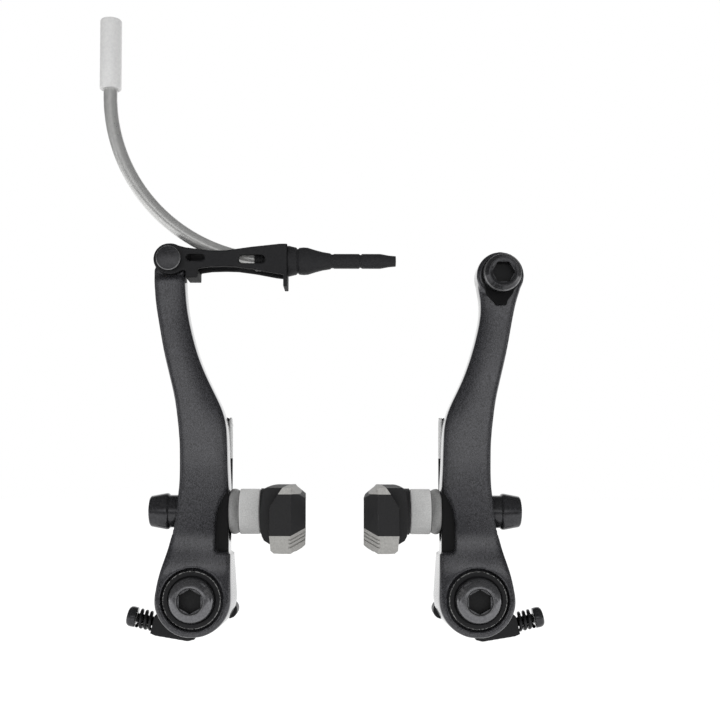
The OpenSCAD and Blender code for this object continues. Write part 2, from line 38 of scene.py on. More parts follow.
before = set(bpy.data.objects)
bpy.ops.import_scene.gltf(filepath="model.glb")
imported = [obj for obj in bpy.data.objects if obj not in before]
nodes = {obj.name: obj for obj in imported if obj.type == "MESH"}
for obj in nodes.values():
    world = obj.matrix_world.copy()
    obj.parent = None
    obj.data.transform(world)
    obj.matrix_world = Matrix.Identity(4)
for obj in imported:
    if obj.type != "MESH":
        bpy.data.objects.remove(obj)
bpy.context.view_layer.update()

MM = 0.001
SIDES = (("left", 1), ("right", -1))
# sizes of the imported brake, in mm
HALF = 40.0
FOOT_R = 10.8
STUD_Z = 24.5
TRAVEL = 5.0
PIN_Z = 96.3
PIN_OUT = 7.4
PIN_X = -HALF - PIN_OUT
CLAMP_X = HALF + PIN_OUT - 0.4
CLAMP_Z = 91.9
CLAMP_R = 6.75
TOP_HALF = 4.0
EYE_HALF = 3.0
EYE_LOW = 91.3
RING_FRONT = -7.2
BUSH_FRONT = -5.6
BACK_Y = 7.1
AXIS_Z = 96.5
BEND_R = 48.3
BEND_X = -17.1
BEND_Z = 144.8
TUBE_R = 2.0
END_X = -14.9
PLATE_OUT = 4.75
FACE_X = 7.6
SHOE_HALF = 35
CHAMFER_LONG = 7.3
CHAMFER_DEEP = 3.5
GROOVE_YS = (-20, 0, 20)
WALL_R = 9.75
BOLT_R = 6.3
BOLT_FLAT = 3.9
TRIM_OUT = 13.3
TRIM_Y = 10.5
TRIM_Z = -8.4
TRIM_TILT = 13.4
HOOK_U = 7.25
HOOK_Z = 49.5
OUTER_LINE = ((0, -10.8), (7, -9.6), (12, -7.7), (18, -6.05), (26, -4.75), (34, -3.95), (45, -4.15),
              (56, -5.5), (70, -9), (84, -11.5), (92, -12), (99, -11.9))
INNER_LINE = ((0, 10.8), (12, 10.6), (25, 10.3), (36, 9.7), (48, 9.3), (51.5, 8.8), (55, 7.3), (61, 4.2),
              (66, 1.9), (70, 0.45), (75, -0.9), (80, -2.05), (85, -2.75), (92, -3.1), (99, -2.9))
# the right arm widens into its clamp boss
RIGHT_OUTER = OUTER_LINE[:8] + ((70, -8.85), (80, -10.65), (84, -11.45), (87, -12.3), (90, -13.7))
RIGHT_INNER = INNER_LINE[:8] + ((66, 2.3), (70, 1), (75, -0.3), (80, -1.35), (84, -1.6),
                                (87, -1.1), (90, -0.2))
HALF_LINE = ((0, 7), (9, 7), (15, 5.7), (40, 5.5), (60, 4.6), (80, 4), (99, 4))
# the milled hollow beside the shoe stud
SCOOP_LINE = ((15, 13.2), (6.9, 13.2), (6.2, 13.9), (6.2, 21.4), (6.5, 24), (7.3, 26.6), (8.5, 29),
              (10, 31), (15, 33))


def linear(code):
    """Linear RGB of an sRGB hex value."""
    parts = [int(code[i:i + 2], 16) / 255 for i in (1, 3, 5)]
    return tuple(c / 12.92 if c <= 0.04045 else ((c + 0.055) / 1.055) ** 2.4 for c in parts)


def shade(colour, share):
    """A linear colour made darker or lighter."""
    return tuple(c * share for c in colour)


# small modelling helpers

def start():
    """Object mode with nothing selected."""
    if bpy.context.mode != "OBJECT":
        bpy.ops.object.mode_set(mode="OBJECT")
    bpy.ops.object.select_all(action="DESELECT")


def pick(obj):
    """Makes one object selected and active."""
    start()
    obj.select_set(True)
    bpy.context.view_layer.objects.active = obj


def apply_modifier(obj, kind, **values):
    """Adds a modifier and applies it."""
    pick(obj)
    mod = obj.modifiers.new(kind.lower(), kind)
    for key, value in values.items():
        setattr(mod, key, value)
    bpy.ops.object.modifier_apply(modifier=mod.name)


def settle(obj, name):
    """Names a piece and moves its place into its mesh."""
    pick(obj)
    bpy.ops.object.transform_apply(location=True, rotation=True, scale=True)
    obj.name = name
    obj.data.name = name
    return obj


def smooth(obj, angle=35):
    """Smooth shading with creases kept at sharp edges."""
    pick(obj)
    bpy.ops.object.shade_smooth_by_angle(angle=math.radians(angle))


def clean(obj):
    """Merges doubles and turns all faces outwards."""
    pick(obj)
    bpy.ops.object.mode_set(mode="EDIT")
    bpy.ops.mesh.select_all(action="SELECT")
    bpy.ops.mesh.remove_doubles(threshold=1e-6)
    bpy.ops.mesh.dissolve_degenerate(threshold=1e-7)
    bpy.ops.mesh.delete_loose(use_verts=True, use_edges=True, use_faces=False)
    bpy.ops.mesh.select_all(action="SELECT")
    bpy.ops.mesh.normals_make_consistent(inside=False)
    bpy.ops.object.mode_set(mode="OBJECT")


def turned(name, profile, place, axis, sd=1, steps=96, bevel=0.12, angle=30):
    """A solid of revolution. Profile points are (radius, distance along the axis) in mm."""
    start()
    bpy.ops.mesh.primitive_circle_add(vertices=len(profile), radius=1, fill_type="NOTHING")
    obj = bpy.context.object
    ordered = sorted(obj.data.vertices, key=lambda v: math.atan2(v.co.y, v.co.x))
    for vert, (r, t) in zip(ordered, profile):
        vert.co = Vector((r, t * sd, 0)) * MM if axis == "Y" else (
            Vector((t * sd, 0, r)) * MM if axis == "X" else Vector((r, 0, t * sd)) * MM)
    pick(obj)
    bpy.ops.object.mode_set(mode="EDIT")
    bpy.ops.mesh.select_all(action="SELECT")
    line = {"X": (1, 0, 0), "Y": (0, 1, 0), "Z": (0, 0, 1)}[axis]
    bpy.ops.mesh.spin(steps=steps, angle=math.tau, center=(0, 0, 0), axis=line)
    bpy.ops.object.mode_set(mode="OBJECT")
    clean(obj)
    if bevel:
        apply_modifier(obj, "BEVEL", width=bevel * MM, segments=2, limit_method="ANGLE",
                       angle_limit=math.radians(angle))
    obj.location = Vector(place) * MM
    settle(obj, name)
    smooth(obj)
    return obj


def tube_of_rings(name, rings, count):
    """A closed body from rings of points in mm: a cylinder cut into rings that are each put in shape."""
    start()
    bpy.ops.mesh.primitive_cylinder_add(vertices=count, radius=1, depth=2, end_fill_type="NGON")
    obj = bpy.context.object
    bpy.ops.object.mode_set(mode="EDIT")
    bpy.ops.mesh.select_mode(type="EDGE")
    bpy.ops.mesh.select_all(action="DESELECT")
    bm = bmesh.from_edit_mesh(obj.data)
    for edge in bm.edges:
        edge.select_set(abs(edge.verts[0].co.z - edge.verts[1].co.z) > 0.5)
    bmesh.update_edit_mesh(obj.data)
    bpy.ops.mesh.subdivide_edgering(number_cuts=len(rings) - 2, interpolation="LINEAR")
    bpy.ops.object.mode_set(mode="OBJECT")
    for vert in obj.data.vertices:
        ring = round((vert.co.z + 1) / 2 * (len(rings) - 1))
        spot = round((math.atan2(vert.co.y, vert.co.x) - math.pi / 2) / math.tau * count) % count
        vert.co = Vector(rings[ring][spot]) * MM
    clean(obj)
    return settle(obj, name)


def bar(r, a, b, steps=64):
    """A round bar between two points in mm, used to cut or to add."""
    start()
    a, b = Vector(a) * MM, Vector(b) * MM
    turn = (b - a).to_track_quat("Z", "Y").to_euler()
    bpy.ops.mesh.primitive_cylinder_add(vertices=steps, radius=r * MM, depth=(b - a).length,
                                        location=(a + b) / 2, rotation=turn)
    return bpy.context.object


def block(low, high):
    """A box between two corners in mm, used to cut or to add."""
    start()
    low, high = Vector(low) * MM, Vector(high) * MM
    bpy.ops.mesh.primitive_cube_add(size=1, location=(low + high) / 2, scale=high - low)
    return bpy.context.object


def prism(points, y0, y1):
    """A flat outline of (x, z) points in mm, drawn out along Y."""
    ring = list(points)
    if sum((b[0] - a[0]) * (b[1] + a[1]) for a, b in zip(ring, ring[1:] + ring[:1])) < 0:
        ring.reverse()
    levels = (y0, (y0 + y1) / 2, y1)
    return tube_of_rings("prism", [[(x, y, z) for x, z in ring] for y in levels], len(ring))


def join(objs):
    """One object of several, with its place in its mesh."""
    start()
    for obj in objs:
        obj.select_set(True)
    bpy.context.view_layer.objects.active = objs[0]
    if len(objs) > 1:
        bpy.ops.object.join()
    bpy.ops.object.transform_apply(location=True, rotation=True, scale=True)
    return bpy.context.object


def cut(obj, tools, operation="DIFFERENCE"):
    """Cuts tools out of a piece and removes them."""
    for tool in tools:
        settle(tool, "tool")
        apply_modifier(obj, "BOOLEAN", object=tool, operation=operation, solver="EXACT")
        bpy.data.objects.remove(tool)


def rounded(obj, voxel, passes=3, factor=0.5):
    """Fuses what overlaps and rounds all edges by about one voxel."""
    apply_modifier(obj, "REMESH", mode="VOXEL", voxel_size=voxel * MM, use_smooth_shade=True)
    apply_modifier(obj, "SMOOTH", factor=factor, iterations=passes)
    pick(obj)
    bpy.ops.object.shade_smooth()


def copy_node(name):
    """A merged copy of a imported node, to be finished further."""
    start()
    obj = nodes[name].copy()
    obj.data = nodes[name].data.copy()
    obj.parent = None
    for key in list(obj.keys()):
        del obj[key]
    bpy.context.scene.collection.objects.link(obj)
    obj.data.materials.clear()
    clean(obj)
    return obj


def off_axis(spot, x, z):
    """Distance in mm of a point from an axis that runs along Y."""
    return math.hypot(spot.x - x, spot.z - z)


def paint(obj, slot, test):
    """Puts faces that pass a test on another material slot; the test gets the face centre in mm."""
    for face in obj.data.polygons:
        if test(face.center / MM, face.normal):
            face.material_index = slot


def dress(obj, mats, body, slot, *node_names):
    """Gives a finished piece its materials and body, and hides the nodes that it stands for; slot is not used.
    """
    marks = [face.material_index for face in obj.data.polygons]
    obj.data.materials.clear()
    for mat in (mats if isinstance(mats, (list, tuple)) else [mats]):
        obj.data.materials.append(bpy.data.materials[mat])
    for face, mark in zip(obj.data.polygons, marks):
        face.material_index = mark
    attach(obj, body)
    if node_names:
        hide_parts(*node_names)


# materials

def add(tree, kind, inputs=None, **settings):
    """Adds one node with its settings; an input value may be another node's output socket."""
    node = tree.nodes.new(kind)
    for key, value in settings.items():
        setattr(node, key, value)
    for key, value in (inputs or {}).items():
        if isinstance(value, bpy.types.NodeSocket):
            tree.links.new(value, node.inputs[key])
        else:
            node.inputs[key].default_value = value
    return node


def surface(name, dark, light, grain_mm, rough, rough_span, metallic=0.0, coat=0.0, coat_rough=0.1,
            bump_mm=0.01, bump=0.3, stretch=(1, 1, 1), specular=0.5, spread=0.22):
    """Two tones of one finish in a fine grain, with roughness and bump from the same grain."""
    mat = bpy.data.materials.new(name)
    mat.use_nodes = True
    tree = mat.node_tree
    shader = tree.nodes["Principled BSDF"]
    where = add(tree, "ShaderNodeTexCoord").outputs["Object"]
    drawn = add(tree, "ShaderNodeMapping", {"Vector": where, "Scale": stretch}).outputs["Vector"]
    grain = add(tree, "ShaderNodeTexNoise", {"Vector": drawn, "Scale": 1 / (grain_mm * MM), "Detail": 3.0,
                                             "Roughness": 0.6})
    # broad, faint unevenness of handling and finish
    soft = add(tree, "ShaderNodeTexNoise", {"Vector": where, "Scale": 1 / (14 * MM), "Detail": 2.0})
    tone = add(tree, "ShaderNodeValToRGB", {"Fac": grain.outputs["Fac"]})
    for k, (place, colour) in enumerate(((0.5 - spread, dark), (0.5 + spread, light))):
        tone.color_ramp.elements[k].position = place
        tone.color_ramp.elements[k].color = (*(linear(colour) if isinstance(colour, str) else colour), 1)
    tree.links.new(tone.outputs["Color"], shader.inputs["Base Color"])
    blur = add(tree, "ShaderNodeMath", {0: grain.outputs["Fac"], 1: soft.outputs["Fac"]}, operation="ADD")
    shine = add(tree, "ShaderNodeMapRange", {"Value": blur.outputs[0], "From Min": 0.6, "From Max": 1.4,
                                             "To Min": rough - rough_span, "To Max": rough + rough_span})
    tree.links.new(shine.outputs["Result"], shader.inputs["Roughness"])
    rise = add(tree, "ShaderNodeBump", {"Height": grain.outputs["Fac"], "Strength": bump,
                                        "Distance": bump_mm * MM})
    tree.links.new(rise.outputs["Normal"], shader.inputs["Normal"])
    shader.inputs["Metallic"].default_value = metallic
    shader.inputs["Coat Weight"].default_value = coat
    shader.inputs["Coat Roughness"].default_value = coat_rough
    if not metallic:
        shader.inputs["Specular IOR Level"].default_value = specular
    return mat


def make_materials(tones):
    """All finishes of the brake."""
    # satin metallic lacquer on forged aluminium: dark and finely flaked, with a clear skin that mirrors at
    # the edges; the flakes are drawn 0.26 mm wide, coarser than real ones, so that they show
    surface("graphite lacquer", shade(tones.arm, 0.65), shade(tones.arm, 2.6), 0.26, 0.27, 0.05,
            metallic=0.7, coat=1.0, coat_rough=0.09, bump=0.12, stretch=(1, 1, 0.6), spread=0.16)
    # the same lacquer with painted shade for the milled hollows: darker and dull
    surface("shaded lacquer", "#131314", "#1B1B1C", 0.3, 0.5, 0.06, bump=0.2, specular=0.2)
    # electrophoretic black on pressed steel: smooth, near black, softly glossy; also painted shade on the floor
    # of the clamp bolt's socket
    surface("black electrocoat", "#18181A", "#212123", 0.5, 0.42, 0.05, bump=0.12, specular=0.4)
    # the same coat with painted shade, for faces that lie in the fold's shade: dull and nearly black
    surface("dull electrocoat", "#0F0F10", "#161617", 0.5, 0.6, 0.05, bump=0.12, specular=0.12)
    # black oxide on cold headed steel: dark grey, oily gloss
    surface("black oxide steel", "#3A3A3C", "#545457", 0.6, 0.24, 0.05, metallic=0.75, coat=0.4, bump=0.1)
    # the same oxide on the bolt domes, with painted light: a brighter colour, mirroring the room in soft lobes
    surface("polished oxide steel", "#707073", "#929295", 0.6, 0.22, 0.05, metallic=0.85, coat=0.3, bump=0.08)
    # broached key socket: oily, dark with painted shade
    surface("dark socket", "#1A1A1B", "#262627", 0.5, 0.5, 0.05, bump=0.15, specular=0.3)
    # turned edge of such a head: lighter, a painted highlight
    surface("rubbed oxide edge", "#6E6E70", "#A5A5A6", 0.5, 0.3, 0.05, metallic=0.8, bump=0.1)
    # glass filled nylon, moulded: matt black
    surface("moulded black nylon", "#151517", "#1D1D1F", 0.4, 0.42, 0.06, bump=0.3, specular=0.4)
    # the thin rim of the dust ring: a painted highlight in short dashes
    surface("bright nylon rim", "#1F1F20", "#8C8C8B", 0.5, 0.3, 0.05, bump=0.3, spread=0.04)
    # tumbled and clear passivated alloy: pale grey with a grainy, matt face
    surface("tumbled alloy", shade(tones.washer, 0.82), shade(tones.washer, 1.12), 0.35, 0.55, 0.08,
            metallic=0.12, bump_mm=0.02, bump=0.5)
    # the domed washers of the same alloy, tumbled longer: a darker grey
    surface("dark tumbled alloy", shade(tones.washer, 0.38), shade(tones.washer, 0.68), 0.32, 0.5, 0.08,
            metallic=0.4, bump_mm=0.02, bump=0.6)
    # drawn and polished stainless tube: pale centre, dark towards its edges, with faint drawing lines
    surface("drawn stainless", "#DEDEDD", "#ECECEA", 1.2, 0.3, 0.04, metallic=0.75, bump=0.05, bump_mm=0.006)
    # clear anodised aluminium: pale and satin
    surface("clear anodised aluminium", "#D8D8D8", "#E4E4E3", 0.8, 0.4, 0.04, metallic=0.25, bump=0.05)
    # natural rubber, moulded: soft black, almost no shine
    surface("moulded rubber", "#1F1F21", "#29292B", 0.5, 0.55, 0.05, bump=0.25, specular=0.35)
    # brake block compound: dark, dry and slightly sandy
    surface("black block compound", "#202021", "#2B2B2C", 0.35, 0.6, 0.06, bump=0.4, specular=0.35)
    # its moulded edges: pale, a painted highlight
    surface("rubbed compound edge", "#8C8C8A", "#BDBDBA", 0.35, 0.5, 0.06, bump=0.3)
    # the softer grey compound for wet rims: pale, dry, faintly streaked
    surface("grey block compound", shade(tones.pad, 0.8), shade(tones.pad, 1.1), 0.45, 0.62, 0.06,
            bump=0.4, specular=0.35)
    # zinc on steel: silver with a faint haze
    surface("zinc plated steel", "#9A9B9E", "#B9BABD", 0.5, 0.33, 0.06, metallic=0.9, bump=0.15)
    # blackened spring steel wire
    surface("blackened spring wire", "#2B2B2D", "#48484A", 0.4, 0.28, 0.05, metallic=0.8, bump=0.1)
    # plated spring wire: pale, with a soft gloss
    surface("bright plated wire", "#DADADA", "#ECECEB", 0.5, 0.35, 0.04, metallic=0.2, bump=0.06)
    # turned brass bush
    surface("turned brass", "#A98745", "#C29E58", 0.4, 0.3, 0.05, metallic=1.0, bump=0.1)
    # natural low friction plastic
    surface("natural liner plastic", "#CFCFC8", "#DCDCD6", 0.5, 0.4, 0.05, bump=0.1)


NODE_FINISH = {
    "pivot_bush": "zinc plated steel", "mount_bolt": "black oxide steel", "dust_ring": "moulded black nylon",
    "spring_case": "moulded black nylon", "adjust_spring": "blackened spring wire",
    "adjust_screw": "black oxide steel", "arm": "graphite lacquer", "return_spring": "bright plated wire",
    "spring_hook": "black oxide steel", "dome_washer": "dark tumbled alloy", "thick_washer": "tumbled alloy",
    "outer_cup": "black oxide steel", "outer_dome": "black oxide steel", "shoe_block": "black block compound",
    "shoe_stud": "zinc plated steel", "shoe_nut": "black oxide steel", "link_pin": "black oxide steel",
    "link_pin_bush": "turned brass", "anchor_bolt": "black oxide steel", "anchor_washer": "black electrocoat",
    "link_cradle": "black electrocoat", "noodle_tube": "drawn stainless",
    "noodle_ferrule": "clear anodised aluminium", "noodle_nose": "moulded black nylon",
    "noodle_liner": "natural liner plastic", "boot": "moulded rubber",
}


# settings

class BrakeShape(PropertyGroup):
    """Sizes of the dressed pieces."""
    arm_voxel: FloatProperty(name="Arm rounding", description="Edge rounding step of the arms in mm",
                             default=0.34, min=0.25, max=0.6)
    sheet_voxel: FloatProperty(name="Sheet rounding", default=0.2, min=0.12, max=0.4,
                               description="Edge rounding step of the link sheet in mm")
    case_voxel: FloatProperty(name="Moulded rounding", default=0.3, min=0.2, max=0.5,
                              description="Edge rounding step of the moulded cases in mm")
    trim_turns: FloatProperty(name="Turns", description="Turns of the small spring on each adjusting screw",
                              default=3.0, min=2.5, max=3.2)


class BrakeTones(PropertyGroup):
    """Colours of the main finishes."""
    arm: FloatVectorProperty(name="Arms", description="Colour of the lacquered arms", subtype="COLOR", size=3,
                             min=0, max=1, default=linear("#3A3A3D"))
    washer: FloatVectorProperty(name="Washers", description="Colour of the shaped washers", subtype="COLOR",
                                size=3, min=0, max=1, default=linear("#CFCFCE"))
    pad: FloatVectorProperty(name="Pads", description="Colour of the grey compound", subtype="COLOR", size=3,
                             min=0, max=1, default=linear("#A09F9C"))


class BrakeStage(PropertyGroup):
    """Camera and light."""
    focal: FloatProperty(name="Focal length", description="Focal length of the camera in mm", unit="CAMERA",
                         default=54.37)
    camera_at: FloatVectorProperty(name="Camera", description="Place of the camera in mm", subtype="XYZ", size=3,
                                   default=(2.12, -311.8, 36.8))
    tilt: FloatProperty(name="Tilt", description="Upward tilt of the camera in degrees", default=2.0)
    roll: FloatProperty(name="Roll", description="Turn of the camera about its line of sight in degrees",
                        default=-0.1)
    shift: FloatVectorProperty(name="Shift", description="Lens shift as a share of the picture width", size=2,
                               default=(0.0240, 0.0979))
    key: FloatProperty(name="Side lamps", description="Power of each side lamp in W", default=1.6)
    fill: FloatProperty(name="Soft light", description="Strength of the light from all around", default=0.86)


# arms

def eased(z, line, d):
    """Height against edge, evened over a short stretch."""
    def at(h):
        if h <= line[0][0]:
            return line[0][1]
        for (z0, v0), (z1, v1) in zip(line, line[1:]):
            if h <= z1:
                return v0 + (v1 - v0) * (h - z0) / (z1 - z0)
        return line[-1][1]
    return sum(at(z + d * k / 2) for k in (-2, -1, 0, 1, 2)) / 5


def arm_ring(z, sd):
    """One level section of an arm as 26 points, from the outer front edge round to the rear."""
    if z < 0:
        inner = math.sqrt(max(0.05, FOOT_R ** 2 - z * z))
        outer = -inner
    else:
        inner, outer = (eased(z, line, min(3, z)) for line in (
            (INNER_LINE, OUTER_LINE) if sd > 0 else (RIGHT_INNER, RIGHT_OUTER)))
    mid, wide = (outer + inner) / 2, (inner - outer) / 2
    low = min(1.2, z + FOOT_R)
    depth = eased(z, HALF_LINE, 3) - 1.2 + math.sqrt(max(0, 1.2 ** 2 - (1.2 - low) ** 2))
    crown = 0.9 * wide / FOOT_R
    r = min(1.2, wide * 0.6)
    if sd > 0 and z > EYE_LOW:
        # the flat eye between the link plates
        depth, crown, r = EYE_HALF, 0, 0.6
    q = wide - r
    def arc(cx, cy, angles):
        return [(cx + r * math.cos(math.radians(k)), cy + r * math.sin(math.radians(k))) for k in angles]
    draft = 0.85 * max(0, min(1, 1 - z / 18))
    # the front falls back towards its inner edge
    fall = crown * 1.5
    pts = [(mid + q * (i / 4 - 1), fall * max(0, (i / 4 - 0.75) / 1.25) ** 2 - depth) for i in range(9)]
    pts += arc(mid + q, fall - depth + r, (-60, -30, 0)) + arc(mid + q + draft, depth - r, (0, 30, 60, 90))
    pts += [(mid + q - q * i / 2, depth) for i in (1, 2, 3)] + arc(mid - q, depth - r, (90, 120, 150, 180))
    pts += arc(mid - q, -depth + r, (180, 210, 240))
    if sd < 0:
        pts = [pts[0]] + pts[:0:-1]
    return [((u - HALF) * sd, y, z) for u, y in pts]


def arm_cutters(sd):
    """Bores, washer seats, slot and hollows of one arm."""
    def x(u):
        return (u - HALF) * sd

    def slot(r, u0, u1, z0, z1):
        return [bar(r, (x(u0), 0, z0), (x(u1), 0, z0)), bar(r, (x(u0), 0, z1), (x(u1), 0, z1)),
                block((min(x(u0), x(u1)), -r, z0), (max(x(u0), x(u1)), r, z1))]
    z0 = STUD_Z - TRAVEL
    tools = [bar(5.55, (x(0), -9, 0), (x(0), 9, 0)), bar(8.75, (x(0), -9, 0), (x(0), -5.5, 0), 96)]
    tools += slot(3.3, -14, 14, z0, STUD_Z) + slot(4.95, -14, -1.2, z0, STUD_Z)
    tools.append(block((min(x(10), x(14)), -9, z0 - 6.9), (max(x(10), x(14)), 9, z0 + 6.7)))
    line = [(x(u), z) for u, z in SCOOP_LINE]
    tools += [prism(line, -14, -4.1), prism(line, 4.1, 14)]
    return tools


class BRAKE_OT_arms(Operator):
    """Models both forged arms with rounded edges."""
    bl_idname = "brake.arms"
    bl_label = "Arms"

    def execute(self, context):
        voxel = context.scene.brake_shape.arm_voxel
        for side, sd in SIDES:
            top = PIN_Z - 1.5 if sd > 0 else CLAMP_Z - 2
            levels = [-FOOT_R * math.cos(math.radians(a)) for a in (8, 16, 24, 32, 40, 49, 58, 66, 74, 82)]
            levels += [2 * k for k in range(45)]
            levels += [89.4, 90.8, 91.2, 91.4, 91.8, 93, top] if sd > 0 else [89, top]
            body = tube_of_rings(side + "_arm_body", [arm_ring(z, sd) for z in levels], 26)
            apply_modifier(body, "SUBSURF", levels=2, render_levels=2)
            if sd > 0:
                end = turned("end", [(0, -3), (4, -3), (4.5, -2.5), (4.5, 2.5), (4, 3), (0, 3)],
                             (PIN_X, 0, PIN_Z), "Y")
            else:
                end = turned("end", [(0, -4), (CLAMP_R - 0.6, -4), (CLAMP_R, -3.4), (CLAMP_R, 3.4),
                                     (CLAMP_R - 0.6, 4), (0, 4)], (CLAMP_X, 0, CLAMP_Z), "Y")
            body = join([body, end])
            apply_modifier(body, "REMESH", mode="VOXEL", voxel_size=voxel * MM)
            tools = arm_cutters(sd)
            if sd > 0:
                tools.append(bar(3.15, (PIN_X, -9, PIN_Z), (PIN_X, 9, PIN_Z)))
            else:
                tools.append(bar(3, (CLAMP_X, -9, CLAMP_Z), (CLAMP_X, 9, CLAMP_Z)))
            cut(body, tools)
            rounded(body, voxel, passes=3)
            body.name = side + "_arm_forging"
            # the milled hollow beside the stud gets painted shade
            paint(body, 1, lambda c, n: (abs(c.y) < 4.35 and abs(n.y) > 0.4
                                         and HALF - abs(c.x) > 6 and 13 < c.z < 33))
            dress(body, ["graphite lacquer", "shaded lacquer"], side + "_arm", "arm_paint", side + "_arm")
        return {"FINISHED"}


# turned pieces at the bosses and shoes

def dome(edge, flat, front, rise, steps=8):
    """Profile points of a rounded head, from its rim to its flat top."""
    return [(flat + (edge - flat) * math.cos(math.radians(a)), front - rise * math.sin(math.radians(a)))
            for a in [90 * k / steps for k in range(1, steps)]]


def key_socket(flat, x, y0, y1, z, turn=30):
    """Cutter for a six sided key socket from the front."""
    start()
    bpy.ops.mesh.primitive_cylinder_add(vertices=6, radius=flat / math.sqrt(3) * MM, depth=(y1 - y0) * MM,
                                        location=(x * MM, (y0 + y1) / 2 * MM, z * MM),
                                        rotation=(math.pi / 2, math.radians(turn), 0))
    return bpy.context.object


def bowl(u, r0, r1):
    """The hollow or crown of a washer as profile points between two radii."""
    return [(r, u + math.sqrt(81 - r * r) - math.sqrt(81 - 6.3 ** 2))
            for r in [r0 + (r1 - r0) * k / 6 for k in range(7)]]


class BRAKE_OT_hardware(Operator):
    """Turns the bolts, dust rings, washers and nuts."""
    bl_idname = "brake.hardware"
    bl_label = "Bolts and washers"

    def execute(self, context):
        f = RING_FRONT
        for side, sd in SIDES:
            x0 = -HALF * sd
            profile = [(0, f), (BOLT_R, f), (BOLT_R, f - 1.1)] + dome(BOLT_R, BOLT_FLAT, f - 1.1, 2.9)
            profile += [(BOLT_FLAT, f - 4), (3.75, f - 4), (3.4, f - 3.5), (0, f - 3.5)]
            head = turned(side + "_bolt_head", profile, (x0, 0, 0), "Y", bevel=0)
            cut(head, [key_socket(6, x0, f - 6, f - 1.4, 0, 0)])
            shank = turned("shank", [(0, f), (2.9, f), (2.9, 7.6), (2.5, 8), (0, 8)], (x0, 0, 0), "Y")
            head = join([head, shank])
            smooth(head, 25)
            head.name = side + "_bolt"
            # painted highlight on the chamfer round the socket
            paint(head, 1, lambda c, n: 3.74 < off_axis(c, x0, 0) < 3.92 and f - 4.1 < c.y < f - 3.9)
            # painted shade inside the socket
            paint(head, 2, lambda c, n: off_axis(c, x0, 0) < 3.45 and f - 3.49 < c.y < f - 1.2)
            dress(head, ["polished oxide steel", "rubbed oxide edge", "dark socket"], "boss_hardware",
                  "black_steel", side + "_mount_bolt")
            ring = turned(side + "_dust_cover", [(4.3, BUSH_FRONT), (8.15, BUSH_FRONT), (8.15, f + 0.28),
                                                 (7.92, f), (6.75, f), (6.6, f + 0.35), (4.3, f + 0.35)],
                          (x0, 0, 0), "Y", bevel=0.06)
            # painted highlight along the rim
            paint(ring, 1, lambda c, n: 7.9 < off_axis(c, x0, 0) < 8.06 and c.y < f + 0.27)
            dress(ring, ["moulded black nylon", "bright nylon rim"], "boss_hardware", "black_plastic",
                  side + "_dust_ring")
            for part, node, mat, prof in (
                    ("dome", "dome_washer", "dark tumbled alloy",
                     [(3.35, 10), (5.5, 10), (6.1, 10.25), (6.42, 10.75), (6.5, 11.3), (6.4, 11.9),
                      (6.1, 12.5)] + bowl(12.62, 5.75, 3.35)),
                    ("spacer", "thick_washer", "tumbled alloy",
                     [(3.3, 18.8), (6.1, 18.8), (6.4, 18.5), (6.45, 18.2), (6.45, 13.2), (6.3, 12.95)]
                     + bowl(12.76, 6.1, 3.3)),
                    ("nut", "shoe_nut", "black oxide steel",
                     [(2.97, -5), (4.65, -5), (4.65, -7.1), (4.9, -7.3), (5.15, -7.6), (5.2, -8.1),
                      (4.4, -12.4), (4.0, -12.8), (2.97, -12.8)])):
                body = side + ("_shoe" if part == "nut" else "_washers")
                piece = turned("%s_%s" % (side, part), prof, (x0, 0, STUD_Z), "X", sd)
                dress(piece, mat, body, "black_steel" if part == "nut" else "satin_washer", side + "_" + node)
        return {"FINISHED"}


# spring cases, springs and adjusting screws

def to_trim(obj, sd):
    """Moves a piece modelled along X at the origin onto the adjusting screw's axis."""
    place = Matrix.Translation(Vector((-(HALF + TRIM_OUT) * sd, TRIM_Y, TRIM_Z)) * MM)
    obj.matrix_world = place @ Matrix.Rotation(math.radians(TRIM_TILT * sd), 4, "Y")


